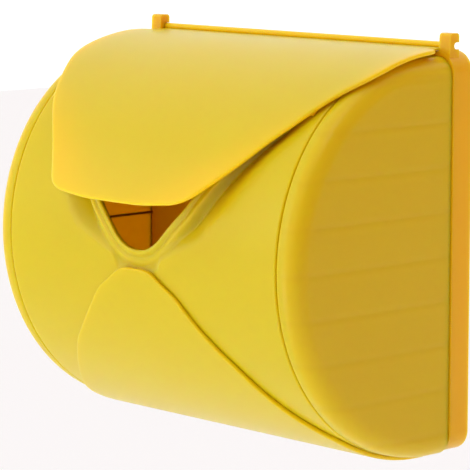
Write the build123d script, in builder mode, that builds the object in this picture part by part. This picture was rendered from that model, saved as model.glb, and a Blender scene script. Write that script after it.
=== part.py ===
"""Children's play letterbox in the form of an envelope, to hang on a playhouse wall.

Frame: X across, Y from the wall outwards is negative, Z up. The origin is the middle of the
rear face, so the wall is the plane Y = 0. Everything is in millimetres.
"""

import os
from math import cos, radians, sin, sqrt

from build123d import *

# Driving dimensions of the rear tray
TRAY_WIDTH = 266.0
TRAY_HEIGHT = 235.0
TRAY_DEPTH = 15.5
TRAY_CORNER = 12.5
TRAY_WALL = 3.0
PANEL_THICKNESS = 2.5

# The drum: a round front on this axis, a slightly flatter crest, and flat back to the tray
AXIS_Y = -23.0
AXIS_Z = 0.2
SHELL_RADIUS = 119.0
CREST_START = 30.0
CREST_HEIGHT = 115.0
WALL = 3.0
SHELL_HALF_WIDTH = 116.5
REVEAL = 0.8
JOINT_GAP = 0.2

# End caps
CAP_RADIUS = 118.7
CAP_FACE_X = 132.0
CAP_WALL = 3.0
CAP_SHOULDER = 11.0
LIP_OVERLAP = 5.7
LIP_THICKNESS = 2.4
RIB_PITCH = 26.0
RIBS_EACH_WAY = 3
RIB_HEIGHT = 1.2
RIB_THICKNESS = 1.5

# The sunken scoop under the lid and the letter opening in its floor
SCOOP_DEPTH = 4.0
OPENING_LIP_WIDTH = 2.4
OPENING_LIP_BELOW = 0.7
REACH = 220.0

# The raised bottom flap
FLAP_CLEARANCE = 0.05
FLAP_THICKNESS = 2.6

# Lid and hinge. The lid's arc has its own axis, so the lid stands off the drum towards its lip
LID_AXIS_Y = -21.8
LID_AXIS_Z = -19.3
LID_RADIUS = 138.8
LID_THICKNESS = 2.4
FLARE_START = 38.0
LIP_TIP = (-162.3, 32.4)
LIP_TIP_UNDERSIDE = (-160.4, 30.9)
LEAF_TOP = 119.5
LEAF_UNDERSIDE = 117.8
LEAF_STEP_Y = (-18.5, -16.6)
HINGE_Y = -9.3
HINGE_Z = 120.7
BARREL_RADIUS = 2.0
BARREL_HALF_LENGTH = 120.4
PIN_RADIUS = 1.98
PIN_END_X = 125.5
STOP_ANGLE = 48.0
STOP_X = 109.3
STOP_FOOT_RADIUS = 119.2

# Ears that carry the lid's pins, one at each top corner of the tray
EAR_INNER_X = 120.8
EAR_WIDTH = 8.5
EAR_TOP = 128.1
EAR_FRONT_Y = -15.4
EAR_REAR_Y = -7.2
EAR_FOOT_Z = 112.0
NOTCH_RADIUS = 2.05

# Fasteners
WALL_SCREW_X = 70.0
WALL_SCREW_Z = 60.0
WALL_HOLE_RADIUS = 2.5
WALL_BOSS_RADIUS = 7.0
CAP_SCREW_X = 124.3
CAP_SCREW_Z = 88.0
SHELL_SCREW_X = 60.0
SHELL_SCREW_TOP_Z = 107.2
SHELL_SCREW_BOTTOM_Z = -110.8
SCREW_BOSS_RADIUS = 5.5
SCREW_BOSS_LENGTH = 15.0
SHORT_BOSS_LENGTH = 10.5
PILOT_RADIUS = 1.6
PASSAGE_RADIUS = 1.8
SCREW_RADIUS = 1.5
SCREW_HEAD_RADIUS = 3.5
SCREW_HEAD_HEIGHT = 2.2
CROSS_LENGTH = 4.2
CROSS_WIDTH = 0.9
CROSS_DEPTH = 1.2

# Places that follow from them
panel_front = -TRAY_DEPTH
panel_back = panel_front + PANEL_THICKNESS
shell_rear = panel_front - JOINT_GAP
floor_radius = SHELL_RADIUS - SCOOP_DEPTH
crest_radius = (CREST_HEIGHT - AXIS_Z - SHELL_RADIUS * sin(radians(CREST_START))) / (
    1 - sin(radians(CREST_START))
)
crest_inset = SHELL_RADIUS - crest_radius
crest_axis_y = AXIS_Y - crest_inset * cos(radians(CREST_START))
crest_axis_z = AXIS_Z + crest_inset * sin(radians(CREST_START))
roof_underside = CREST_HEIGHT - WALL
floor_top = AXIS_Z - SHELL_RADIUS + WALL
cap_start = SHELL_HALF_WIDTH + REVEAL
cap_inner_face = CAP_FACE_X - CAP_WALL
lip_radius = SHELL_RADIUS - WALL - JOINT_GAP
cap_cavity_radius = lip_radius - LIP_THICKNESS
cap_screws_at = [(x, z) for x in (-CAP_SCREW_X, CAP_SCREW_X) for z in (-CAP_SCREW_Z, CAP_SCREW_Z)]
shell_screws_at = [
    (x, z)
    for x in (-SHELL_SCREW_X, SHELL_SCREW_X)
    for z in (SHELL_SCREW_BOTTOM_Z, SHELL_SCREW_TOP_Z)
]

# Views square to the drum at 45 degrees above and below its front, where the flaps are drawn
drum_axis = (0, AXIS_Y, AXIS_Z)
from_above = Plane(origin=drum_axis, x_dir=(1, 0, 0), z_dir=(0, -1, 1))
from_below = Plane(origin=drum_axis, x_dir=(1, 0, 0), z_dir=(0, -1, -1))


def upright(y):
    """A plane facing the wall at depth y, with x across and y up."""
    return Plane(origin=(0, y, 0), x_dir=(-1, 0, 0), z_dir=(0, 1, 0))


def drum_section(radius, rear, x=0.0):
    """The drum's side view at an offset from its skin: round front and crest, flat to the rear."""
    crest = radius - crest_inset
    with BuildSketch(Plane.YZ.offset(x)) as section:
        with BuildLine():
            top = Line((rear, crest_axis_z + crest), (crest_axis_y, crest_axis_z + crest))
            CenterArc((crest_axis_y, crest_axis_z), crest, 90, 90 - CREST_START)
            front = CenterArc((AXIS_Y, AXIS_Z), radius, 180 - CREST_START, 90 + CREST_START)
            bottom = Line(front @ 1, (rear, AXIS_Z - radius))
            Line(bottom @ 1, top @ 0)
        make_face()
    return section.sketch


def symmetric_outline(plane, right_side, corners, grow=0.0):
    """An outline with mirrored halves from its right-hand corners, each with its own radius."""
    left_side = [(-x, y) for x, y in reversed(right_side)]
    with BuildSketch(plane) as outline:
        with BuildLine():
            FilletPolyline(
                *right_side, *left_side, radius=[*corners, *reversed(corners)], close=True
            )
        make_face()
        if grow:
            offset(amount=grow, kind=Kind.INTERSECTION)
    return outline.sketch


# The letter opening, the scoop around it, the lid and the bottom flap, right side, top to bottom
opening_points = [(90, 58), (90, 2), (37, -62), (12.5, -83)]
opening_corners = [10, 30, 40, 30]
scoop_points = [(107, 66), (107, -8), (72, -59), (58, -76), (21.5, -87), (17.5, -93)]
scoop_corners = [5, 30, 25, 18, 5, 4]
lid_points = [(120.1, 100), (120.1, 84), (131, 84), (131, 38), (106, -8.5), (57, -71.5), (25, -76)]
lid_corners = [1, 0.5, 8, 50, 80, 26, 150]
flap_points = [(115, -100), (115, -32), (72, 29), (34, 66), (12, 77.5)]
flap_corners = [1, 40, 100, 30, 22]

scoop_outline = symmetric_outline(from_above, scoop_points, scoop_corners)
scoop_outline_outside = symmetric_outline(from_above, scoop_points, scoop_corners, WALL)
opening_outline = symmetric_outline(from_above, opening_points, opening_corners)
opening_lip_outline = symmetric_outline(
    from_above, opening_points, opening_corners, OPENING_LIP_WIDTH
)
lid_outline = symmetric_outline(from_above, lid_points, lid_corners)
flap_outline = symmetric_outline(from_below, flap_points, flap_corners)


# Rear tray: rim, front panel, wall screw bosses and the two ears of the lid's hinge
with BuildPart() as back_tray:
    with BuildSketch(upright(0)) as rim:
        RectangleRounded(TRAY_WIDTH, TRAY_HEIGHT, TRAY_CORNER)
    extrude(amount=-TRAY_DEPTH)
    with BuildSketch(upright(0)) as hollow:
        RectangleRounded(
            TRAY_WIDTH - 2 * TRAY_WALL, TRAY_HEIGHT - 2 * TRAY_WALL, TRAY_CORNER - TRAY_WALL
        )
    extrude(amount=panel_back, mode=Mode.SUBTRACT)
    with BuildSketch(upright(0)) as wall_bosses:
        with GridLocations(2 * WALL_SCREW_X, 2 * WALL_SCREW_Z, 2, 2):
            Circle(WALL_BOSS_RADIUS)
    extrude(amount=panel_back)
    with BuildSketch(upright(0)) as wall_holes:
        with GridLocations(2 * WALL_SCREW_X, 2 * WALL_SCREW_Z, 2, 2):
            Circle(WALL_HOLE_RADIUS)
    extrude(amount=-TRAY_DEPTH, mode=Mode.SUBTRACT)
    with BuildSketch(upright(0)) as screw_passages:
        with Locations(*[(-x, z) for x, z in cap_screws_at + shell_screws_at]):
            Circle(PASSAGE_RADIUS)
    extrude(amount=-TRAY_DEPTH, mode=Mode.SUBTRACT)
    # Two low ribs on the panel locate the shell's roof and floor
    with BuildSketch(upright(panel_front)) as locating_ribs:
        with Locations((0, roof_underside - 1.4), (0, floor_top + 1.4)):
            Rectangle(100, 2.2)
    extrude(amount=-5)
    for side in (-1, 1):
        ear_plane = Plane.YZ.offset(side * (EAR_INNER_X + EAR_WIDTH / 2))
        with BuildSketch(ear_plane) as ear:
            with BuildLine():
                FilletPolyline(
                    (EAR_FRONT_Y, EAR_FOOT_Z),
                    (EAR_FRONT_Y + 0.8, EAR_TOP),
                    (EAR_REAR_Y, EAR_TOP),
                    (EAR_REAR_Y, EAR_FOOT_Z),
                    radius=[0.2, 2.2, 2.0, 0.2],
                    close=True,
                )
            make_face()
        extrude(amount=EAR_WIDTH / 2, both=True)
        with BuildSketch(ear_plane) as notch:
            with Locations((HINGE_Y, HINGE_Z)):
                Circle(NOTCH_RADIUS)
            with Locations((EAR_REAR_Y, HINGE_Z)):
                Rectangle(2 * (EAR_REAR_Y - HINGE_Y), 2 * NOTCH_RADIUS)
        extrude(amount=EAR_WIDTH / 2 + 1, both=True, mode=Mode.SUBTRACT)
back_tray.part.label = "back_tray"


# The scoop as a pan below the drum's surface, and the pocket that it holds
with BuildPart() as scoop_pan:
    extrude(scoop_outline_outside, amount=REACH)
    extrude(drum_section(SHELL_RADIUS - WALL / 2, shell_rear), REACH, both=True, mode=Mode.INTERSECT)
    extrude(drum_section(floor_radius - WALL, 0), REACH, both=True, mode=Mode.SUBTRACT)

with BuildPart() as scoop_pocket:
    extrude(scoop_outline, amount=REACH)
    extrude(drum_section(floor_radius, 0), REACH, both=True, mode=Mode.SUBTRACT)

# The raised lip round the letter opening, almost flush with the drum
with BuildPart() as opening_lip:
    extrude(opening_lip_outline, amount=REACH)
    extrude(
        drum_section(SHELL_RADIUS - OPENING_LIP_BELOW, shell_rear),
        REACH,
        both=True,
        mode=Mode.INTERSECT,
    )
    extrude(drum_section(floor_radius - WALL / 2, 0), REACH, both=True, mode=Mode.SUBTRACT)

# Front shell: the drum's wall with the two side flaps, the scoop and the letter opening
with BuildPart() as front_shell:
    extrude(drum_section(SHELL_RADIUS, shell_rear), SHELL_HALF_WIDTH, both=True)
    extrude(drum_section(SHELL_RADIUS - WALL, 0), REACH, both=True, mode=Mode.SUBTRACT)
    add(scoop_pan.part)
    add(scoop_pocket.part, mode=Mode.SUBTRACT)
    add(opening_lip.part)
    extrude(opening_outline, amount=REACH, mode=Mode.SUBTRACT)
    # Bosses for the screws from the tray, let into the roof and the floor
    with BuildSketch(upright(shell_rear)) as shell_bosses:
        with Locations(*[(-x, z) for x, z in shell_screws_at]):
            Circle(SCREW_BOSS_RADIUS)
    extrude(amount=-SHORT_BOSS_LENGTH)
    with BuildSketch(upright(shell_rear)) as shell_pilots:
        with Locations(*[(-x, z) for x, z in shell_screws_at]):
            Circle(PILOT_RADIUS)
    extrude(amount=-SHORT_BOSS_LENGTH + 1, mode=Mode.SUBTRACT)
front_shell.part.label = "front_shell"


# Right end cap: a flat end with a round shoulder, a lip inside the shell, and inner ribs
with BuildPart() as end_cap_right:
    extrude(drum_section(CAP_RADIUS, shell_rear, cap_start), CAP_FACE_X - cap_start)
    outer_face = end_cap_right.faces().sort_by(Axis.X)[-1]
    shoulder = outer_face.edges().sort_by(Axis.Y)[:-1]
    fillet(shoulder, CAP_SHOULDER)
    extrude(drum_section(lip_radius, shell_rear, cap_start), -LIP_OVERLAP - REVEAL)
    extrude(
        drum_section(cap_cavity_radius, 0, cap_inner_face),
        -(cap_inner_face - cap_start) - LIP_OVERLAP - REVEAL - 1,
        mode=Mode.SUBTRACT,
    )
    for step in range(-RIBS_EACH_WAY, RIBS_EACH_WAY + 1):
        height = step * RIB_PITCH
        front = AXIS_Y - sqrt(cap_cavity_radius**2 - height**2) - 1
        with BuildSketch(Plane.YZ.offset(cap_inner_face - RIB_HEIGHT)):
            with Locations(((front + shell_rear) / 2, AXIS_Z + height)):
                Rectangle(shell_rear - front, RIB_THICKNESS)
        extrude(amount=RIB_HEIGHT + 1)
    with BuildSketch(upright(shell_rear)) as cap_bosses:
        with Locations((-CAP_SCREW_X, -CAP_SCREW_Z), (-CAP_SCREW_X, CAP_SCREW_Z)):
            Circle(SCREW_BOSS_RADIUS)
    extrude(amount=-SCREW_BOSS_LENGTH)
    with BuildSketch(upright(shell_rear)) as cap_pilots:
        with Locations((-CAP_SCREW_X, -CAP_SCREW_Z), (-CAP_SCREW_X, CAP_SCREW_Z)):
            Circle(PILOT_RADIUS)
    extrude(amount=-SCREW_BOSS_LENGTH + 1, mode=Mode.SUBTRACT)
end_cap_right.part.label = "end_cap_right"

with BuildPart() as end_cap_left:
    mirror(end_cap_right.part, about=Plane.YZ)
end_cap_left.part.label = "end_cap_left"


# Bottom flap: a thin curved panel laid over the two side flaps
with BuildPart() as bottom_flap:
    extrude(flap_outline, amount=REACH)
    extrude(
        drum_section(SHELL_RADIUS + FLAP_CLEARANCE + FLAP_THICKNESS, shell_rear - 1),
        REACH,
        both=True,
        mode=Mode.INTERSECT,
    )
    extrude(drum_section(SHELL_RADIUS + FLAP_CLEARANCE, 0), REACH, both=True, mode=Mode.SUBTRACT)
bottom_flap.part.label = "bottom_flap"


# Lid: the top flap, a curved leaf with a flared lip, hung on a rolled edge with two pins
lid_axis = (LID_AXIS_Y, LID_AXIS_Z)
lid_underside = LID_RADIUS - LID_THICKNESS
flare_tangent = (-sin(radians(FLARE_START)), -cos(radians(FLARE_START)))
with BuildPart() as lid:
    with BuildSketch(Plane.YZ) as lid_section:
        with BuildLine():
            over = CenterArc(lid_axis, LID_RADIUS, 90, 90 - FLARE_START)
            under = CenterArc(lid_axis, lid_underside, 90, 90 - FLARE_START)
            lip_over = TangentArc(over @ 1, LIP_TIP, tangent=flare_tangent)
            lip_under = TangentArc(under @ 1, LIP_TIP_UNDERSIDE, tangent=flare_tangent)
            Line(lip_over @ 1, lip_under @ 1)
            Polyline(
                over @ 0,
                (HINGE_Y, LEAF_TOP),
                (HINGE_Y, LEAF_UNDERSIDE),
                (LEAF_STEP_Y[1], LEAF_UNDERSIDE),
                (LEAF_STEP_Y[0], LID_AXIS_Z + lid_underside),
                under @ 0,
            )
        make_face()
    extrude(amount=CAP_FACE_X, both=True)
    extrude(lid_outline, amount=REACH, mode=Mode.INTERSECT)
    with BuildSketch(Plane.YZ) as barrel:
        with Locations((HINGE_Y, HINGE_Z)):
            Circle(BARREL_RADIUS)
    extrude(amount=BARREL_HALF_LENGTH, both=True)
    with BuildSketch(Plane.YZ) as pins:
        with Locations((HINGE_Y, HINGE_Z)):
            Circle(PIN_RADIUS)
    extrude(amount=PIN_END_X, both=True)
    # Two stops under the leaf rest on the side flaps
    for side in (-1, 1):
        stop_at = Plane(origin=(side * STOP_X, AXIS_Y, AXIS_Z), x_dir=(1, 0, 0), z_dir=(0, -1, 0))
        with BuildSketch(stop_at.rotated((-STOP_ANGLE, 0, 0)).offset(STOP_FOOT_RADIUS)):
            Rectangle(3, 10)
        extrude(amount=2.6)
lid.part.label = "lid"


def tapping_screws(places, length):
    """Pan-head screws from the back of the tray's panel, each place an (x, z) pair."""
    with BuildPart() as screws:
        with BuildSketch(upright(panel_back)):
            with Locations(*[(-x, z) for x, z in places]):
                Circle(SCREW_HEAD_RADIUS)
        extrude(amount=SCREW_HEAD_HEIGHT)
        fillet(screws.edges().group_by(Axis.Y)[-1], 1.2)
        with BuildSketch(upright(panel_back)):
            with Locations(*[(-x, z) for x, z in places]):
                Circle(SCREW_RADIUS)
        extrude(amount=-length)
        chamfer(screws.edges().group_by(Axis.Y)[0], 0.8)
        with BuildSketch(upright(panel_back + SCREW_HEAD_HEIGHT)):
            with Locations(*[(-x, z) for x, z in places]):
                Rectangle(CROSS_LENGTH, CROSS_WIDTH)
                Rectangle(CROSS_WIDTH, CROSS_LENGTH)
        extrude(amount=-CROSS_DEPTH, mode=Mode.SUBTRACT)
    return screws.part


cap_screws = tapping_screws(cap_screws_at, 14)
cap_screws.label = "cap_screws"
shell_screws = tapping_screws(shell_screws_at, 10)
shell_screws.label = "shell_screws"

os.makedirs("parts", exist_ok=True)
export_step(back_tray.part, "parts/back_tray.step")
export_step(front_shell.part, "parts/front_shell.step")
export_step(end_cap_right.part, "parts/end_cap_right.step")
export_step(end_cap_left.part, "parts/end_cap_left.step")
export_step(bottom_flap.part, "parts/bottom_flap.step")
export_step(lid.part, "parts/lid.step")
export_step(cap_screws, "parts/cap_screws.step")
export_step(shell_screws, "parts/shell_screws.step")
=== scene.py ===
"""Looks of a yellow moulded play letterbox in the form of an envelope, hung on a wall.

Shapes are worked out in millimetres in the part's own frame: X across, -Y out of the wall to the
front, Z up. Meshes are in metres.
"""
from math import cos, pi, radians, sin, sqrt

import bmesh
import bpy
import numpy as np
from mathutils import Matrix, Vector


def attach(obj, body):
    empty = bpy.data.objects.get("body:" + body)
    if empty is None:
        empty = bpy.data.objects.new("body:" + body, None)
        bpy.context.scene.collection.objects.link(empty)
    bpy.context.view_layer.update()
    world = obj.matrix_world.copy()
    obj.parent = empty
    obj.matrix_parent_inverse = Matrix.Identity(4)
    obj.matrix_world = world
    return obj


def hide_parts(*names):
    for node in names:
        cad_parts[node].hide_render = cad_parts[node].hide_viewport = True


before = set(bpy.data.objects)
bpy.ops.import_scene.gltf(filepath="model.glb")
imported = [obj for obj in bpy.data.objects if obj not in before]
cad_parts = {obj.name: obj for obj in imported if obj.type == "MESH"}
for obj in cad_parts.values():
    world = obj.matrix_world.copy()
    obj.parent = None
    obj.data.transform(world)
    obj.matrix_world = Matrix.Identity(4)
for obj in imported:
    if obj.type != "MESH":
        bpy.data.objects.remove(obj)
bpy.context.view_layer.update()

MM = 0.001

# The drum, as in the part's source
AXIS_Y, AXIS_Z = -23.0, 0.2
SHELL_RADIUS = 119.0
CREST_START = radians(30)
CREST_HEIGHT = 115.0
SHELL_REAR = -15.7
SHELL_HALF_WIDTH = 116.5
CAP_START, CAP_FACE_X = 117.3, 132.0
CAP_BELOW = 0.3
CAP_SHOULDER = 11.0
CAP_WALL = 3.0
crest_radius = (CREST_HEIGHT - AXIS_Z - SHELL_RADIUS * sin(CREST_START)) / (1 - sin(CREST_START))

# The lid, as in the part's source
LID_AXIS_Y, LID_AXIS_Z = -21.8, -19.3
LID_RADIUS = 138.8
LID_THICKNESS = 2.4
LEAF_THICKNESS = 1.6
FLARE_START = radians(38)
FLARE_RATE = 0.00587
HINGE_Y, HINGE_Z = -9.3, 120.7
BARREL_RADIUS, BARREL_HALF_LENGTH = 2.0, 120.4
PIN_RADIUS, PIN_END_X = 1.98, 125.5
STOP_ANGLE, STOP_X = radians(48), 109.3


# Sections of the drum and the lid: a run s along the skin, measured up from the front
def drum_point(s):
    """Depth and height of points on the drum's skin."""
    s = np.asarray(s, float)
    crest_from = SHELL_RADIUS * CREST_START
    a = np.clip(s / SHELL_RADIUS, -pi / 2, CREST_START)
    b = CREST_START + np.clip((s - crest_from) / crest_radius, 0, pi / 2 - CREST_START)
    flat_from = crest_from + crest_radius * (pi / 2 - CREST_START)
    flat = np.maximum(s - flat_from, 0) + np.maximum(-pi / 2 * SHELL_RADIUS - s, 0)
    y = AXIS_Y - SHELL_RADIUS * np.cos(a) + crest_radius * (cos(CREST_START) - np.cos(b)) + flat
    z = AXIS_Z + SHELL_RADIUS * np.sin(a) + crest_radius * (np.sin(b) - sin(CREST_START))
    return y, z


def flare(s):
    """How far the lid's lip stands out from the lid's arc."""
    return FLARE_RATE * np.maximum(LID_RADIUS * FLARE_START - s, 0) ** 2


def lid_point(s):
    """Depth and height of points on the lid's upper skin."""
    s = np.asarray(s, float)
    angle = np.clip(s / LID_RADIUS, -pi / 2, pi / 2)
    flat = np.maximum(s - LID_RADIUS * pi / 2, 0)
    reach = LID_RADIUS + flare(s)
    return LID_AXIS_Y - reach * np.cos(angle) + flat, LID_AXIS_Z + reach * np.sin(angle)


def run_for(section, heights, above):
    """Runs along a section for heights in the view square to the drum at 45 degrees."""
    runs = np.linspace(-230, 260, 4000)
    y, z = section(runs)
    side = 1 if above else -1
    seen = (side * (y - AXIS_Y) + (z - AXIS_Z)) / sqrt(2)
    keep = np.gradient(seen) > 0
    return np.interp(heights, seen[keep], runs[keep])


def rounded(right_side, corners, count=1600):
    """A closed outline, even in spacing, from its mirrored right-hand corners and their radii."""
    points = np.array(list(right_side) + [(-x, y) for x, y in reversed(right_side)], float)
    radii = list(corners) + list(reversed(corners))
    path = []
    for i, p in enumerate(points):
        before, after = points[i - 1], points[(i + 1) % len(points)]
        u = (before - p) / np.linalg.norm(before - p)
        v = (after - p) / np.linalg.norm(after - p)
        half = np.arccos(np.clip(u @ v, -1, 1)) / 2
        reach = radii[i] / np.tan(half)
        middle = p + (u + v) / np.linalg.norm(u + v) * radii[i] / np.sin(half)
        start, end = p + u * reach - middle, p + v * reach - middle
        for f in np.linspace(0, 1, 24):
            ray = start * np.sin((1 - f) * (pi / 2 - half) + 1e-9) + end * np.sin(
                f * (pi / 2 - half) + 1e-9
            )
            path.append(middle + ray / np.linalg.norm(ray) * radii[i])
    path = np.array(path)
    ends = np.vstack([path, path[:1]])
    run = np.concatenate([[0], np.cumsum(np.linalg.norm(np.diff(ends, axis=0), axis=1))])
    even = np.linspace(0, run[-1], count, endpoint=False)
    return np.stack([np.interp(even, run, ends[:, 0]), np.interp(even, run, ends[:, 1])], 1)


def on_skin(outline, section, above):
    """Turns the heights of an outline drawn in the 45 degree view into runs on the skin."""
    return np.stack([outline[:, 0], run_for(section, outline[:, 1], above)], 1)


def along_rays(outline, centre, angles):
    """The outline's crossings with rays from a centre."""
    rel = outline - centre
    angle = np.arctan2(rel[:, 1], rel[:, 0])
    order = np.argsort(angle)
    reach = np.interp(angles, angle[order], np.hypot(*rel[order].T), period=2 * pi)
    return centre + np.stack([reach * np.cos(angles), reach * np.sin(angles)], 1)


def smooth(x, low, high):
    """A soft step from 0 to 1."""
    t = np.clip((x - low) / (high - low), 0, 1)
    return t * t * (3 - 2 * t)


def outward(ring):
    """Unit normals that point out of a ring of points."""
    along = np.roll(ring, -1, axis=0) - np.roll(ring, 1, axis=0)
    normal = np.stack([along[:, 1], -along[:, 0]], 1)
    normal /= np.linalg.norm(normal, axis=1)[:, None]
    area = np.sum(ring[:, 0] * np.roll(ring[:, 1], -1) - ring[:, 1] * np.roll(ring[:, 0], -1))
    return normal if area > 0 else -normal


def lifted(ring, height):
    """A ring of (x, run) with its height over the skin."""
    return np.column_stack([ring, np.broadcast_to(height, len(ring))])


def loft_faces(rings, count, closed=False, wrap=True):
    """Quads between rings of count points each."""
    faces = []
    for r in range(rings if closed else rings - 1):
        a, b = r * count, ((r + 1) % rings) * count
        for i in range(count if wrap else count - 1):
            j = (i + 1) % count
            faces.append((a + i, a + j, b + j, b + i))
    return faces


def new_piece(name, verts, faces, loose_parts=()):
    """A mesh object in metres from millimetre points, its faces turned outwards."""
    verts = [tuple(v) for v in np.asarray(verts, float) * MM]
    faces = list(faces)
    for more_verts, more_faces in loose_parts:
        base = len(verts)
        verts += [tuple(v) for v in np.asarray(more_verts, float) * MM]
        faces += [tuple(base + i for i in face) for face in more_faces]
    mesh = bpy.data.meshes.new(name)
    mesh.from_pydata(verts, [], faces)
    mesh.validate()
    work = bmesh.new()
    work.from_mesh(mesh)
    bmesh.ops.remove_doubles(work, verts=work.verts, dist=1e-7)
    bmesh.ops.recalc_face_normals(work, faces=work.faces)
    closed = all(edge.is_manifold for edge in work.edges)
    if closed and work.calc_volume(signed=True) < 0:
        bmesh.ops.reverse_faces(work, faces=work.faces)
    work.to_mesh(mesh)
    work.free()
    piece = bpy.data.objects.new(name, mesh)
    bpy.context.scene.collection.objects.link(piece)
    return piece


def plain_mesh(piece):
    """Turns what the piece's modifiers make into its own mesh."""
    graph = bpy.context.evaluated_depsgraph_get()
    mesh = bpy.data.meshes.new_from_object(piece.evaluated_get(graph))
    piece.modifiers.clear()
    piece.data = mesh
    return piece


def smooth_shaded(piece, sharp=35):
    piece.data.shade_smooth()
    piece.data.set_sharp_from_angle(angle=radians(sharp))


# Node tools
def wire(tree, value, socket):
    if hasattr(value, "is_output"):
        tree.links.new(value, socket)
    else:
        socket.default_value = value


def calc(tree, operation, *values):
    """One math node, with its output."""
    node = tree.nodes.new("ShaderNodeMath")
    node.operation = operation
    for value, socket in zip(values, node.inputs):
        wire(tree, value, socket)
    return node.outputs[0]


def total(tree, *values):
    result = values[0]
    for value in values[1:]:
        result = calc(tree, "ADD", result, value)
    return result


def wrap_round_drum():
    """Geometry nodes that lay a flat panel of (across, run, height) on a drum."""
    tree = bpy.data.node_groups.new("Wrap round drum", "GeometryNodeTree")
    tree.interface.new_socket("Geometry", in_out="INPUT", socket_type="NodeSocketGeometry")
    for label in ("Front Radius", "Crest Radius", "Crest Start", "Axis Depth", "Axis Height"):
        tree.interface.new_socket(label, in_out="INPUT", socket_type="NodeSocketFloat")
    tree.interface.new_socket("Material", in_out="INPUT", socket_type="NodeSocketMaterial")
    tree.interface.new_socket("Geometry", in_out="OUTPUT", socket_type="NodeSocketGeometry")
    given = tree.nodes.new("NodeGroupInput").outputs
    front, crest, start = given["Front Radius"], given["Crest Radius"], given["Crest Start"]
    flat_panel = tree.nodes.new("ShaderNodeSeparateXYZ")
    tree.links.new(tree.nodes.new("GeometryNodeInputPosition").outputs[0], flat_panel.inputs[0])
    across, run, height = flat_panel.outputs
    crest_from = calc(tree, "MULTIPLY", front, start)
    crest_span = calc(tree, "SUBTRACT", pi / 2, start)
    flat_from = calc(tree, "MULTIPLY_ADD", crest, crest_span, crest_from)
    a = calc(tree, "DIVIDE", run, front)
    a = calc(tree, "MINIMUM", calc(tree, "MAXIMUM", a, -pi / 2), start)
    b = calc(tree, "DIVIDE", calc(tree, "SUBTRACT", run, crest_from), crest)
    b = calc(tree, "MINIMUM", calc(tree, "MAXIMUM", b, 0.0), crest_span)
    turn = calc(tree, "ADD", a, b)
    on_crest = calc(tree, "ADD", start, b)
    behind_top = calc(tree, "MAXIMUM", calc(tree, "SUBTRACT", run, flat_from), 0.0)
    behind_foot = calc(tree, "SUBTRACT", calc(tree, "MULTIPLY", front, -pi / 2), run)
    behind_foot = calc(tree, "MAXIMUM", behind_foot, 0.0)
    crest_back = calc(
        tree, "SUBTRACT", calc(tree, "COSINE", start), calc(tree, "COSINE", on_crest)
    )
    crest_up = calc(tree, "SUBTRACT", calc(tree, "SINE", on_crest), calc(tree, "SINE", start))
    forward = total(
        tree,
        calc(tree, "MULTIPLY", front, calc(tree, "COSINE", a)),
        calc(tree, "MULTIPLY", height, calc(tree, "COSINE", turn)),
    )
    depth = total(
        tree,
        given["Axis Depth"],
        calc(tree, "MULTIPLY", crest, crest_back),
        behind_top,
        behind_foot,
        calc(tree, "MULTIPLY", forward, -1.0),
    )
    up = total(
        tree,
        given["Axis Height"],
        calc(tree, "MULTIPLY", front, calc(tree, "SINE", a)),
        calc(tree, "MULTIPLY", crest, crest_up),
        calc(tree, "MULTIPLY", height, calc(tree, "SINE", turn)),
    )
    place = tree.nodes.new("ShaderNodeCombineXYZ")
    for value, socket in zip((across, depth, up), place.inputs):
        tree.links.new(value, socket)
    move = tree.nodes.new("GeometryNodeSetPosition")
    tree.links.new(given["Geometry"], move.inputs["Geometry"])
    tree.links.new(place.outputs[0], move.inputs["Position"])
    finish_tree(tree, move.outputs[0], given["Material"])
    return tree


def finish_tree(tree, geometry, material):
    real = tree.nodes.new("GeometryNodeRealizeInstances")
    paint = tree.nodes.new("GeometryNodeSetMaterial")
    tree.links.new(geometry, real.inputs[0])
    tree.links.new(real.outputs[0], paint.inputs["Geometry"])
    tree.links.new(material, paint.inputs["Material"])
    tree.links.new(paint.outputs[0], tree.nodes.new("NodeGroupOutput").inputs[0])


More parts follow.
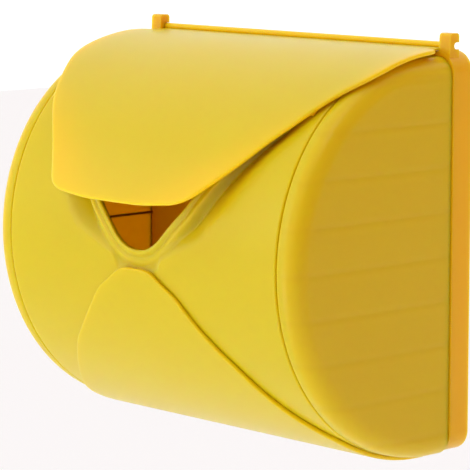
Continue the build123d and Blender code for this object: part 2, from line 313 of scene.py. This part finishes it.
def ribs_across():
    """Geometry nodes for level ribs on an end wall, each as long as the round wall allows."""
    tree = bpy.data.node_groups.new("Ribs across the end wall", "GeometryNodeTree")
    tree.interface.new_socket("Geometry", in_out="INPUT", socket_type="NodeSocketGeometry")
    tree.interface.new_socket("Count", in_out="INPUT", socket_type="NodeSocketInt")
    names = "Pitch", "Inner Radius", "Axis Depth", "Axis Height", "Rear Depth", "Wall X"
    for label in names + ("Rib Height", "Rib Thickness"):
        tree.interface.new_socket(label, in_out="INPUT", socket_type="NodeSocketFloat")
    tree.interface.new_socket("Material", in_out="INPUT", socket_type="NodeSocketMaterial")
    tree.interface.new_socket("Geometry", in_out="OUTPUT", socket_type="NodeSocketGeometry")
    given = tree.nodes.new("NodeGroupInput").outputs
    line = tree.nodes.new("GeometryNodeMeshLine")
    tree.links.new(given["Count"], line.inputs["Count"])
    index = tree.nodes.new("GeometryNodeInputIndex").outputs[0]
    middle = calc(tree, "MULTIPLY", calc(tree, "SUBTRACT", given["Count"], 1.0), 0.5)
    level = calc(tree, "MULTIPLY", calc(tree, "SUBTRACT", index, middle), given["Pitch"])
    squares = calc(
        tree,
        "SUBTRACT",
        calc(tree, "POWER", given["Inner Radius"], 2.0),
        calc(tree, "POWER", calc(tree, "ABSOLUTE", level), 2.0),
    )
    front = calc(tree, "SUBTRACT", given["Axis Depth"], calc(tree, "SQRT", squares))
    length = calc(tree, "SUBTRACT", given["Rear Depth"], front)
    place = tree.nodes.new("ShaderNodeCombineXYZ")
    tree.links.new(given["Wall X"], place.inputs[0])
    halfway = calc(tree, "MULTIPLY", total(tree, front, given["Rear Depth"]), 0.5)
    tree.links.new(halfway, place.inputs[1])
    tree.links.new(total(tree, level, given["Axis Height"]), place.inputs[2])
    size = tree.nodes.new("ShaderNodeCombineXYZ")
    for value, socket in zip((given["Rib Height"], length, given["Rib Thickness"]), size.inputs):
        tree.links.new(value, socket)
    keep_size = tree.nodes.new("GeometryNodeCaptureAttribute")
    keep_size.capture_items.new("VECTOR", "size")
    tree.links.new(line.outputs[0], keep_size.inputs["Geometry"])
    tree.links.new(size.outputs[0], keep_size.inputs[1])
    move = tree.nodes.new("GeometryNodeSetPosition")
    tree.links.new(keep_size.outputs["Geometry"], move.inputs["Geometry"])
    tree.links.new(place.outputs[0], move.inputs["Position"])
    bar = tree.nodes.new("GeometryNodeMeshCube")
    bar.inputs["Size"].default_value = (1, 1, 1)
    put = tree.nodes.new("GeometryNodeInstanceOnPoints")
    tree.links.new(move.outputs[0], put.inputs["Points"])
    tree.links.new(bar.outputs["Mesh"], put.inputs["Instance"])
    tree.links.new(keep_size.outputs[1], put.inputs["Scale"])
    finish_tree(tree, put.outputs[0], given["Material"])
    return tree


def run_tree(piece, tree, **inputs):
    """Puts a node tree on a piece, sets its inputs and keeps only the finished mesh."""
    modifier = piece.modifiers.new("shape", "NODES")
    modifier.node_group = tree
    for item in tree.interface.items_tree:
        key = item.name.replace(" ", "_").lower()
        if item.in_out == "INPUT" and key in inputs:
            modifier[item.identifier] = inputs[key]
    return plain_mesh(piece)


# Shader groups
def group(label, inputs, outputs):
    tree = bpy.data.node_groups.new(label, "ShaderNodeTree")
    for name, value in inputs:
        tree.interface.new_socket(
            name, in_out="INPUT", socket_type="NodeSocketFloat"
        ).default_value = value
    for name in outputs:
        tree.interface.new_socket(name, in_out="OUTPUT", socket_type="NodeSocketFloat")
    given = tree.nodes.new("NodeGroupInput").outputs
    return tree, given, tree.nodes.new("NodeGroupOutput").inputs


def noise(tree, scale, detail, stretch=None):
    """A noise node on Object coordinates, with its value."""
    node = tree.nodes.new("ShaderNodeTexNoise")
    node.inputs["Detail"].default_value = detail
    wire(tree, scale, node.inputs["Scale"])
    place = tree.nodes.new("ShaderNodeTexCoord").outputs["Object"]
    if stretch:
        mapping = tree.nodes.new("ShaderNodeMapping")
        mapping.inputs["Scale"].default_value = stretch
        tree.links.new(place, mapping.inputs["Vector"])
        place = mapping.outputs[0]
    tree.links.new(place, node.inputs["Vector"])
    return node.outputs["Fac"]


def moulded_grain():
    """Fine spark-eroded grain of a mould, as a height, and a soft patchiness in gloss."""
    tree, given, out = group(
        "Moulded grain", [("Grain Scale", 1500), ("Patch Scale", 18)], ["Height", "Patches"]
    )
    fine = noise(tree, given["Grain Scale"], 2)
    coarse = noise(tree, calc(tree, "MULTIPLY", given["Grain Scale"], 0.35), 1)
    tree.links.new(calc(tree, "MULTIPLY_ADD", coarse, 0.6, fine), out["Height"])
    tree.links.new(noise(tree, given["Patch Scale"], 3), out["Patches"])
    return tree


def sink_lines():
    """Faint level dips where ribs inside a wall have pulled its outer face in."""
    tree, given, out = group(
        "Sink lines", [("Pitch", 0.026), ("Width", 0.0022), ("Middle", 0.0)], ["Dip"]
    )
    place = tree.nodes.new("ShaderNodeSeparateXYZ")
    tree.links.new(tree.nodes.new("ShaderNodeTexCoord").outputs["Object"], place.inputs[0])
    waver = calc(tree, "MULTIPLY", noise(tree, 9.0, 1), 0.0012)
    level = calc(tree, "ADD", calc(tree, "SUBTRACT", place.outputs[2], given["Middle"]), waver)
    turns = calc(tree, "DIVIDE", level, given["Pitch"])
    off = calc(tree, "SUBTRACT", turns, calc(tree, "ROUND", turns))
    off = calc(tree, "DIVIDE", calc(tree, "MULTIPLY", off, given["Pitch"]), given["Width"])
    dip = calc(tree, "EXPONENT", calc(tree, "MULTIPLY", calc(tree, "POWER", off, 2.0), -1.0))
    tree.links.new(dip, out["Dip"])
    return tree


grain_group = moulded_grain()
sink_group = sink_lines()


def mix_colour(tree, factor, first, second):
    node = tree.nodes.new("ShaderNodeMix")
    node.data_type = "RGBA"
    wire(tree, factor, node.inputs["Factor"])
    for value, socket in zip((first, second), (node.inputs[6], node.inputs[7])):
        if hasattr(value, "is_output"):
            tree.links.new(value, socket)
        else:
            socket.default_value = (*value, 1)
    return node.outputs[2]


YELLOW = (0.87, 0.525, 0.003)
YELLOW_DEEP = (0.84, 0.50, 0.002)


def yellow_plastic(name, sinks=0.0, depth=0.9, tone=1.0):
    """Satin polypropylene, moulded: fine grain, soft patches, and sink lines on an end wall, the
    sink lines darkened with painted shade; a tone below 1 darkens the whole yellow as painted
    shade.
    """
    material = bpy.data.materials.new(name)
    material.use_nodes = True
    tree = material.node_tree
    shader = tree.nodes["Principled BSDF"]
    grain = tree.nodes.new("ShaderNodeGroup")
    grain.node_tree = grain_group
    patches = grain.outputs["Patches"]
    # A tone below 1 darkens both yellows evenly, as painted shade
    shades = [tuple(tone * c for c in shade) for shade in (YELLOW, YELLOW_DEEP)]
    colour = mix_colour(tree, patches, *shades)
    rough = calc(tree, "MULTIPLY_ADD", patches, 0.08, 0.29)
    bump = tree.nodes.new("ShaderNodeBump")
    bump.inputs["Strength"].default_value = 0.22
    bump.inputs["Distance"].default_value = 0.00008
    tree.links.new(grain.outputs["Height"], bump.inputs["Height"])
    normal = bump.outputs[0]
    if sinks:
        lines = tree.nodes.new("ShaderNodeGroup")
        lines.node_tree = sink_group
        lines.inputs["Middle"].default_value = AXIS_Z * MM
        dip = tree.nodes.new("ShaderNodeBump")
        dip.invert = True
        dip.inputs["Strength"].default_value = 1.0
        dip.inputs["Distance"].default_value = sinks
        tree.links.new(lines.outputs["Dip"], dip.inputs["Height"])
        tree.links.new(normal, dip.inputs["Normal"])
        normal = dip.outputs[0]
        # Painted shade: the colour is darkened along the sink dips, on top of their bump
        shade = calc(tree, "MULTIPLY", lines.outputs["Dip"], 0.35)
        colour = mix_colour(tree, shade, colour, (0.80, 0.47, 0.003))
    tree.links.new(colour, shader.inputs["Base Color"])
    tree.links.new(rough, shader.inputs["Roughness"])
    tree.links.new(normal, shader.inputs["Normal"])
    shader.inputs["IOR"].default_value = 1.49
    shader.inputs["Specular IOR Level"].default_value = 0.25
    shader.inputs["Subsurface Weight"].default_value = depth
    shader.inputs["Subsurface Radius"].default_value = (1.0, 0.62, 0.12)
    shader.inputs["Subsurface Scale"].default_value = 0.014
    return material


def zinc():
    """Zinc plate with soft patches of duller metal."""
    material = bpy.data.materials.new("zinc_plate")
    material.use_nodes = True
    tree = material.node_tree
    shader = tree.nodes["Principled BSDF"]
    grain = tree.nodes.new("ShaderNodeGroup")
    grain.node_tree = grain_group
    grain.inputs["Patch Scale"].default_value = 400
    patches = grain.outputs["Patches"]
    colour = mix_colour(tree, patches, (0.62, 0.63, 0.64), (0.50, 0.50, 0.47))
    tree.links.new(colour, shader.inputs["Base Color"])
    tree.links.new(calc(tree, "MULTIPLY_ADD", patches, 0.2, 0.25), shader.inputs["Roughness"])
    shader.inputs["Metallic"].default_value = 1.0
    return material


plastic = yellow_plastic("yellow_plastic")
# The end wall's sink lines carry painted shade as well as their bump
cap_plastic_painted_sink_shade = yellow_plastic("yellow_plastic_end_wall", sinks=0.00022)
# Painted shade: the tray is the same yellow plastic, darkened to 0.84 as it sits in shade at the
# back
tray_plastic_painted_shade = yellow_plastic("yellow_plastic_tray", depth=0.7, tone=0.84)
inner_plastic = yellow_plastic("yellow_plastic_inner", depth=0.0)
zinc_plate = zinc()
wrap_tree = wrap_round_drum()
ribs_tree = ribs_across()
drum_inputs = dict(
    front_radius=SHELL_RADIUS * MM,
    crest_radius=crest_radius * MM,
    crest_start=CREST_START,
    axis_depth=AXIS_Y * MM,
    axis_height=AXIS_Z * MM,
)
lid_inputs = dict(
    front_radius=LID_RADIUS * MM,
    crest_radius=LID_RADIUS * MM,
    crest_start=pi / 2,
    axis_depth=LID_AXIS_Y * MM,
    axis_height=LID_AXIS_Z * MM,
)


def hand_over(piece, node, body, sharp=35):
    """Gives a piece its one finish, hides the imported part of the node it stands for, and
    attaches it to the body it rides on.
    """
    if sharp:
        smooth_shaded(piece, sharp)
    finish = [material for material in piece.data.materials if material][0]
    piece.data.materials.clear()
    piece.data.materials.append(finish)
    for face in piece.data.polygons:
        face.material_index = 0
    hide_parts(node)
    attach(piece, body)


def join_into(target, *others):
    """Adds other meshes to a piece, at rest in one mesh."""
    work = bmesh.new()
    work.from_mesh(target.data)
    for other in others:
        work.from_mesh(other.data)
        bpy.data.objects.remove(other)
    work.to_mesh(target.data)
    work.free()


# Bosses, a lip and stops that the pieces share
SCREW_BOSS_RADIUS, PILOT_RADIUS = 5.5, 1.6
CAP_SCREW_X, CAP_SCREW_Z, CAP_BOSS_LENGTH = 124.3, 88.0, 15.0
SHELL_SCREW_X, SHELL_SCREW_HEIGHTS, SHELL_BOSS_LENGTH = 60.0, (107.2, -110.8), 10.5
LIP_RADIUS_INSET, LIP_THICKNESS, LIP_END_X = 3.2, 2.4, 110.8


def boss(x, z, length, count=36):
    """A screw boss that stands forward from the rear edge, with its blind pilot hole."""
    turn = np.linspace(0, 2 * pi, count, endpoint=False)
    profile = [
        (PILOT_RADIUS, length - 1),
        (PILOT_RADIUS, 0.3),
        (PILOT_RADIUS + 0.3, 0),
        (SCREW_BOSS_RADIUS - 0.3, 0),
        (SCREW_BOSS_RADIUS, 0.3),
        (SCREW_BOSS_RADIUS - 0.15, length - 0.6),
        (SCREW_BOSS_RADIUS - 0.75, length),
    ]
    verts = [
        (x + r * np.cos(t), SHELL_REAR - ahead, z + r * np.sin(t))
        for r, ahead in profile
        for t in turn
    ]
    faces = loft_faces(len(profile), count)
    base, low = len(verts), (len(profile) - 1) * count
    verts += [(x, SHELL_REAR - length + 1, z), (x, SHELL_REAR - length, z)]
    faces += [(base, (i + 1) % count, i) for i in range(count)]
    faces += [(base + 1, low + i, low + (i + 1) % count) for i in range(count)]
    return verts, faces


def plain_part(name, verts, faces, material):
    """A small part with its finish."""
    part = new_piece(name, verts, faces)
    part.data.materials.append(material)
    return part


# Front shell: drum wall with a soft bowl each side of a raised rim round the letter opening
opening = on_skin(
    rounded([(90, 58), (90, 2), (37, -62), (12.5, -83)], [10, 30, 40, 30]), drum_point, True
)
scoop = on_skin(
    rounded(
        [(107, 66), (107, -8), (72, -59), (58, -76), (21.5, -87), (17.5, -93)],
        [5, 30, 25, 18, 5, 4],
    ),
    drum_point,
    True,
)
POINTS_ROUND = 420
BOWL_DEPTH = 8.5
RIM_WIDTH = 9.0
RIM_BELOW = 0.7
BEAD_HEIGHT = 0.6
SKIN = 2.4
FLANK_FROM, FLANK_TO = RIM_WIDTH - 2.5, RIM_WIDTH + 3.5
NECK_WIDTH, FULL_BOWL_WIDTH = 11, 30
SMOOTHED_OVER = 23
BOWL_POWER = 1.8
BEAD_FROM_EDGE, BEAD_SPREAD = 1.5, 1.3
DIP_FROM_EDGE, DIP_SPREAD = 4.2, 1.2
EDGE_INSET = 1.4
centre = np.array([0.0, 70.0])
foot_run = -(pi / 2 * SHELL_RADIUS + SHELL_REAR - AXIS_Y)
crest_flat = SHELL_REAR - (AXIS_Y - (SHELL_RADIUS - crest_radius) * cos(CREST_START))
top_run = SHELL_RADIUS * CREST_START + crest_radius * (pi / 2 - CREST_START) + crest_flat
even = scoop[:: len(scoop) // POINTS_ROUND][:POINTS_ROUND] - centre
angles = np.sort(np.arctan2(even[:, 1], even[:, 0]))
for corner_x in (-SHELL_HALF_WIDTH, SHELL_HALF_WIDTH):
    for corner_run in (foot_run, top_run):
        corner = np.arctan2(corner_run - centre[1], corner_x)
        angles[np.abs(angles - corner).argmin()] = corner
angles = np.sort(angles)


def shell_edge(inset):
    """The shell's own rectangle, met by the rays."""
    c, s = np.cos(angles), np.sin(angles)
    side = (SHELL_HALF_WIDTH - inset) / np.maximum(np.abs(c), 1e-9)
    end = np.where(s > 0, top_run - centre[1], centre[1] - foot_run) / np.maximum(np.abs(s), 1e-9)
    reach = np.minimum(side, end)
    return centre + np.stack([reach * c, reach * s], 1)


inner = along_rays(opening, centre, angles)
outer = along_rays(scoop, centre, angles)
width = np.linalg.norm(outer - inner, axis=1)
room = smooth(width, NECK_WIDTH, FULL_BOWL_WIDTH) * BOWL_DEPTH
spread = np.hanning(SMOOTHED_OVER)
side = SMOOTHED_OVER // 2
room = np.convolve(
    np.concatenate([room[-side:], room, room[:side]]), spread / spread.sum(), "valid"
)
steps = np.concatenate([[0, 0.008, 0.02, 0.04, 0.06], np.linspace(0.08, 1, 44)])
skin_rings = []
for t in steps:
    gone = t * width
    flank = smooth(gone, FLANK_FROM, FLANK_TO)
    rise = np.clip((width - gone) / np.maximum(width - RIM_WIDTH, 1), 0, 1) ** BOWL_POWER
    bead = BEAD_HEIGHT * np.exp(-(((gone - BEAD_FROM_EDGE) / BEAD_SPREAD) ** 2))
    dip = BEAD_HEIGHT * np.exp(-(((gone - DIP_FROM_EDGE) / DIP_SPREAD) ** 2))
    height = bead - dip - RIM_BELOW * (1 - smooth(t, 0.6, 1)) - room * flank * rise
    skin_rings.append(lifted(inner + (outer - inner) * t, height - (0.6 if t == 0 else 0)))
boundary = shell_edge(EDGE_INSET)
for f in (np.linspace(0, 1, 58) ** 1.25)[1:]:
    skin_rings.append(lifted(outer + (boundary - outer) * f, 0.0))
for inset, drop in ((0.8, 0.08), (0.35, 0.3), (0.08, 0.7), (0.0, 1.1)):
    skin_rings.append(lifted(shell_edge(inset), -drop))
back_rings = [ring - (0, 0, SKIN) for ring in skin_rings]
back_rings[0] = lifted(inner, skin_rings[0][:, 2] - SKIN + 0.4)
rings = skin_rings[::-1] + back_rings
shell = new_piece(
    "front_shell_skin",
    np.vstack(rings),
    loft_faces(len(rings), POINTS_ROUND, closed=True),
)
run_tree(shell, wrap_tree, material=plastic, **drum_inputs)
shell_bosses = [
    plain_part("front_shell_bosses", *boss(x, z, SHELL_BOSS_LENGTH), inner_plastic)
    for x in (-SHELL_SCREW_X, SHELL_SCREW_X)
    for z in SHELL_SCREW_HEIGHTS
]
join_into(*shell_bosses)
hand_over(shell, "front_shell", "root", 50)
hand_over(shell_bosses[0], "front_shell", "root", 40)


def slab(outline, section_centre, thickness, bottom, count, layers, edge, under, lift=None):
    """A closed panel: crowned rings over the outline, a round edge, and the underside."""
    ring = outline[:: len(outline) // count][:count]
    away = outward(ring)
    middle = np.array(section_centre, float)
    rows = []
    for f in np.linspace(0.0, 1, layers)[1:]:
        flat = middle + (ring - away * edge - middle) * f
        rows.append(lifted(flat, 0.0))
    for turn in np.linspace(0, pi / 2, 5)[1:]:
        rows.append(lifted(ring - away * edge * (1 - sin(turn)), -edge * (1 - cos(turn))))
    lower = thickness(ring[:, 1])
    for turn in np.linspace(pi / 2, 0, 4):
        rows.append(
            lifted(ring - away * under * (1 - sin(turn)), -lower + under * (1 - cos(turn)))
        )
    for f in np.linspace(1, 0.0, layers)[1:-1]:
        flat = middle + (ring - away * under - middle) * f
        rows.append(lifted(flat, -thickness(flat[:, 1])))
    for row in rows:
        row[:, 2] += bottom + (lift(row[:, 1]) if lift else 0)
    crown = np.array([[*middle, bottom + (lift(middle[1:])[0] if lift else 0)]])
    pit = crown - (0, 0, thickness(middle[1:])[0])
    verts = np.vstack(rows + [crown, pit])
    last = len(rows) * count
    faces = loft_faces(len(rows), count)
    faces += [(last, i, (i + 1) % count) for i in range(count)]
    low = (len(rows) - 1) * count
    faces += [(last + 1, low + (i + 1) % count, low + i) for i in range(count)]
    return verts, faces


def even_thickness(amount):
    """The same thickness at every run."""
    return lambda runs: np.full(len(runs), amount)


# Bottom flap, laid over the side flaps
FLAP_THICKNESS, FLAP_GAP = 2.6, 0.05
flap = on_skin(
    rounded([(115, -88.4), (115, -32), (72, 29), (34, 66), (12, 77.5)], [1, 40, 100, 30, 22]),
    drum_point,
    False,
)
bottom_flap = new_piece(
    "bottom_flap_panel",
    *slab(
        flap,
        (0, -80),
        even_thickness(FLAP_THICKNESS),
        FLAP_THICKNESS + FLAP_GAP,
        360,
        44,
        1.0,
        0.4,
    ),
)
run_tree(bottom_flap, wrap_tree, material=plastic, **drum_inputs)
hand_over(bottom_flap, "bottom_flap", "root", 50)


# Lid: crowned leaf, flared lip, and the rolled edge with its two pins
def lathe(profile, axis_y, axis_z, count=40):
    """A solid turned about a line across the box from (x, radius) pairs that end on the line."""
    turn = np.linspace(0, 2 * pi, count, endpoint=False)
    verts = [
        (x, axis_y + r * np.cos(t), axis_z + r * np.sin(t)) for x, r in profile for t in turn
    ]
    faces = loft_faces(len(profile), count)
    base = len(verts)
    verts += [(profile[0][0], axis_y, axis_z), (profile[-1][0], axis_y, axis_z)]
    low = (len(profile) - 1) * count
    faces += [(base, (i + 1) % count, i) for i in range(count)]
    faces += [(base + 1, low + i, low + (i + 1) % count) for i in range(count)]
    return np.array(verts), faces


def lid_thickness(runs):
    """Full thickness on the leaf, less where it runs over the tray's rim to the rolled edge."""
    step = LID_RADIUS * pi / 2 + (-17.2 - LID_AXIS_Y)
    return LID_THICKNESS - (LID_THICKNESS - LEAF_THICKNESS) * smooth(runs, step - 1.6, step)


lid_outline = on_skin(
    rounded(
        [(120.1, 94.0), (120.1, 84), (131, 84), (131, 38), (106, -8.5), (57, -71.5), (25, -75.9)],
        [0.6, 0.5, 8, 50, 80, 26, 150],
        2400,
    ),
    lid_point,
    True,
)
lid = new_piece(
    "lid_leaf",
    *slab(lid_outline, (0, 160), lid_thickness, 0.0, 480, 56, 1.3, 0.6, flare),
)
run_tree(lid, wrap_tree, material=plastic, **lid_inputs)
rolled_profile = [
    (-PIN_END_X, PIN_RADIUS - 0.4),
    (-PIN_END_X + 0.4, PIN_RADIUS),
    (-BARREL_HALF_LENGTH, PIN_RADIUS),
    (-BARREL_HALF_LENGTH, BARREL_RADIUS),
]
rolled_profile += [(-x, r) for x, r in reversed(rolled_profile)]
rolled = new_piece("lid_rolled_edge", *lathe(rolled_profile, HINGE_Y, HINGE_Z))
rolled.data.materials.append(plastic)
join_into(lid, rolled)
STOP_FOOT_RADIUS, STOP_LENGTH, STOP_ALONG, STOP_ACROSS = 119.2, 2.4, 10.0, 3.0


def stop(side):
    """A small block under the leaf that rests on the side flap."""
    out = np.array([0, -cos(STOP_ANGLE), sin(STOP_ANGLE)])
    up = np.array([0, sin(STOP_ANGLE), cos(STOP_ANGLE)])
    middle = np.array([side * STOP_X, AXIS_Y, AXIS_Z]) + out * STOP_FOOT_RADIUS
    corners = [
        middle + np.array([a * STOP_ACROSS / 2, 0, 0]) + up * b * STOP_ALONG / 2 + out * c
        for c in (0, STOP_LENGTH)
        for a, b in ((-1, -1), (1, -1), (1, 1), (-1, 1))
    ]
    sides = [(i, (i + 1) % 4, 4 + (i + 1) % 4, 4 + i) for i in range(4)]
    return corners, sides + [(3, 2, 1, 0), (4, 5, 6, 7)]


stops = [plain_part("lid_stops", *stop(side), inner_plastic) for side in (-1, 1)]
join_into(*stops)
hand_over(lid, "lid", "lid", 50)
hand_over(stops[0], "lid", "lid")


# End caps: a soft shoulder from the joint to the flat end wall, with ribs inside
RIB_COUNT, RIB_PITCH, RIB_END_INSET = 7, 26, 6
RIB_HEIGHT, RIB_THICKNESS, RIB_MIDDLE_INSET = 0.9, 1.5, 0.35


def end_cap(name, side):
    """One end cap's wall, and the ribs, bosses and lip inside it."""
    section_runs = np.linspace(foot_run, top_run, 260)
    profile = [(CAP_START, -2.6), (CAP_START, -1.3), (CAP_START + 0.15, -0.75)]
    profile += [(CAP_START + 0.5, -0.4), (CAP_START + 1.2, -CAP_BELOW)]
    shoulder_x = CAP_FACE_X - CAP_SHOULDER
    for turn in np.linspace(0, pi / 2, 16):
        profile.append(
            (shoulder_x + CAP_SHOULDER * sin(turn), -CAP_BELOW - CAP_SHOULDER * (1 - cos(turn)))
        )
    count = len(section_runs)
    verts = [(x, s, h) for x, h in profile for s in section_runs]
    cap = new_piece(name, verts, loft_faces(len(profile), count, wrap=False))
    run_tree(cap, wrap_tree, material=cap_plastic_painted_sink_shade, **drum_inputs)
    # The end wall closes the shoulder's last ring against the straight rear edge
    work = bmesh.new()
    work.from_mesh(cap.data)
    work.verts.ensure_lookup_table()
    last = [v for v in work.verts if abs(v.co.x - CAP_FACE_X * MM) < 1e-7]
    last.sort(key=lambda v: np.arctan2(v.co.z - AXIS_Z * MM, SHELL_REAR * MM - v.co.y + 1e-9))
    hub = np.array([CAP_FACE_X, SHELL_REAR, AXIS_Z]) * MM
    ring = last
    for f in np.linspace(1, 0, 30)[1:-1]:
        inner_ring = [work.verts.new(hub + (np.array(v.co) - hub) * f) for v in last]
        for i in range(len(last) - 1):
            work.faces.new((ring[i], ring[i + 1], inner_ring[i + 1], inner_ring[i]))
        ring = inner_ring
    middle = work.verts.new(hub)
    for i in range(len(ring) - 1):
        work.faces.new((ring[i], ring[i + 1], middle))
    bmesh.ops.recalc_face_normals(work, faces=work.faces)
    work.faces.ensure_lookup_table()
    outermost = max(work.faces, key=lambda f: f.calc_center_median().x)
    if outermost.normal.x < 0:
        bmesh.ops.reverse_faces(work, faces=work.faces)
    work.to_mesh(cap.data)
    work.free()
    wall = cap.modifiers.new("wall", "SOLIDIFY")
    wall.thickness = CAP_WALL * MM
    wall.offset = -1
    wall.use_even_offset = False
    plain_mesh(cap)
    ribs = new_piece(name + "_ribs", [(0, 0, 0)], [])
    run_tree(
        ribs,
        ribs_tree,
        count=RIB_COUNT,
        pitch=RIB_PITCH * MM,
        inner_radius=(SHELL_RADIUS - RIB_END_INSET) * MM,
        axis_depth=AXIS_Y * MM,
        axis_height=AXIS_Z * MM,
        rear_depth=SHELL_REAR * MM,
        wall_x=(CAP_FACE_X - CAP_WALL - RIB_MIDDLE_INSET) * MM,
        rib_height=RIB_HEIGHT * MM,
        rib_thickness=RIB_THICKNESS * MM,
        material=inner_plastic,
    )
    for z in (-CAP_SCREW_Z, CAP_SCREW_Z):
        cap_boss = boss(CAP_SCREW_X, z, CAP_BOSS_LENGTH)
        join_into(ribs, plain_part("cap_boss", *cap_boss, inner_plastic))
    lip_section = [
        (CAP_START + 1.5, -LIP_RADIUS_INSET),
        (LIP_END_X + 0.4, -LIP_RADIUS_INSET),
        (LIP_END_X, -LIP_RADIUS_INSET - 0.4),
        (LIP_END_X, -LIP_RADIUS_INSET - LIP_THICKNESS + 0.4),
        (LIP_END_X + 0.4, -LIP_RADIUS_INSET - LIP_THICKNESS),
        (CAP_START + 1.5, -LIP_RADIUS_INSET - LIP_THICKNESS),
    ]
    corners_round = len(lip_section)
    verts = [(x, s, h) for s in section_runs for x, h in lip_section]
    faces = loft_faces(count, corners_round)
    last_ring = (count - 1) * corners_round
    faces += [
        tuple(range(corners_round)),
        tuple(last_ring + i for i in reversed(range(corners_round))),
    ]
    lip = new_piece(name + "_lip", verts, faces)
    run_tree(lip, wrap_tree, material=inner_plastic, **drum_inputs)
    join_into(ribs, lip)
    for part in (cap, ribs):
        if side < 0:
            work = bmesh.new()
            work.from_mesh(part.data)
            for v in work.verts:
                v.co.x = -v.co.x
            bmesh.ops.reverse_faces(work, faces=work.faces)
            work.to_mesh(part.data)
            work.free()
    return cap, ribs


for name, side in (("end_cap_right", 1), ("end_cap_left", -1)):
    for part in end_cap(name + "_shell", side):
        hand_over(part, name, "root", 50)


# Rear tray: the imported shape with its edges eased
def eased_copy(node, name, ease):
    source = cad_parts[node]
    piece = bpy.data.objects.new(name, source.data.copy())
    bpy.context.scene.collection.objects.link(piece)
    work = bmesh.new()
    work.from_mesh(piece.data)
    bmesh.ops.remove_doubles(work, verts=work.verts, dist=2e-6)
    bmesh.ops.dissolve_limit(
        work, angle_limit=radians(1.0), verts=work.verts, edges=work.edges
    )
    work.to_mesh(piece.data)
    work.free()
    bevel = piece.modifiers.new("eased edges", "BEVEL")
    bevel.width = ease * MM
    bevel.segments = 3
    bevel.limit_method = "ANGLE"
    bevel.angle_limit = radians(40)
    bevel.use_clamp_overlap = True
    plain_mesh(piece)
    smooth_shaded(piece, 40)
    even = piece.modifiers.new("flat faces stay flat", "WEIGHTED_NORMAL")
    even.keep_sharp = True
    plain_mesh(piece)
    piece.data.materials.clear()
    piece.data.materials.append(tray_plastic_painted_shade)
    return piece


tray = eased_copy("back_tray", "back_tray_moulding", 0.5)
hand_over(tray, "back_tray", "root", None)

for node in ("cap_screws", "shell_screws"):
    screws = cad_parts[node]
    screws.data.materials.clear()
    screws.data.materials.append(zinc_plate)


# Room: pale floor, soft lights, camera
def pale(name, colour, rough):
    material = bpy.data.materials.new(name)
    material.use_nodes = True
    shader = material.node_tree.nodes["Principled BSDF"]
    shader.inputs["Base Color"].default_value = (*colour, 1)
    shader.inputs["Roughness"].default_value = rough
    return material


floor = new_piece(
    "floor",
    [(-9000, -9000, -900), (9000, -9000, -900), (9000, 9000, -900), (-9000, 9000, -900)],
    [(0, 1, 2, 3)],
)
floor.data.materials.append(pale("floor_pale", (0.945, 0.985, 0.99), 0.9))

scene = bpy.context.scene
scene.view_settings.view_transform = "Standard"
world = bpy.data.worlds.new("studio")
scene.world = world
world.use_nodes = True
background = world.node_tree.nodes["Background"]
sky = world.node_tree
aside = sky.nodes.new("ShaderNodeSeparateXYZ")
sky.links.new(sky.nodes.new("ShaderNodeTexCoord").outputs["Generated"], aside.inputs[0])
dimmed = sky.nodes.new("ShaderNodeMapRange")
dimmed.interpolation_type = "SMOOTHSTEP"
sky.links.new(aside.outputs[0], dimmed.inputs["Value"])
dimmed.inputs["From Min"].default_value = 0.15
dimmed.inputs["From Max"].default_value = 0.6
tone = mix_colour(sky, dimmed.outputs[0], (1, 1, 1), (0.55, 0.29, 0.27))
sky.links.new(tone, background.inputs["Color"])
background.inputs["Strength"].default_value = 1.15


def soft_light(name, place, target, size, energy):
    lamp = bpy.data.lights.new(name, "AREA")
    lamp.shape = "DISK"
    lamp.size = size
    lamp.energy = energy
    holder = bpy.data.objects.new(name, lamp)
    scene.collection.objects.link(holder)
    holder.location = place
    aim = np.array(target, float) - np.array(place, float)
    holder.rotation_euler = Vector(aim).to_track_quat("-Z", "Y").to_euler()


soft_light("key", (-0.9, -1.6, 0.5), (0, -0.1, 0), 0.9, 3.5)
soft_light("low", (-0.6, -1.7, -0.6), (0, -0.1, 0), 0.9, 5)
soft_light("top", (0.1, -0.3, 1.6), (0, -0.1, 0), 1.4, 0.6)
soft_light("edge", (0.8, -0.7, 1.6), (0, -0.1, 0), 0.5, 2.2)

camera = bpy.data.cameras.new("camera")
camera.lens = 205.32
camera.sensor_width = 36
camera.clip_end = 100
holder = bpy.data.objects.new("camera", camera)
scene.collection.objects.link(holder)
holder.location = (1.1659, -1.1543, 0.2300)
holder.rotation_euler = (radians(90 - 8.095), 0, radians(46.885))
scene.camera = holder
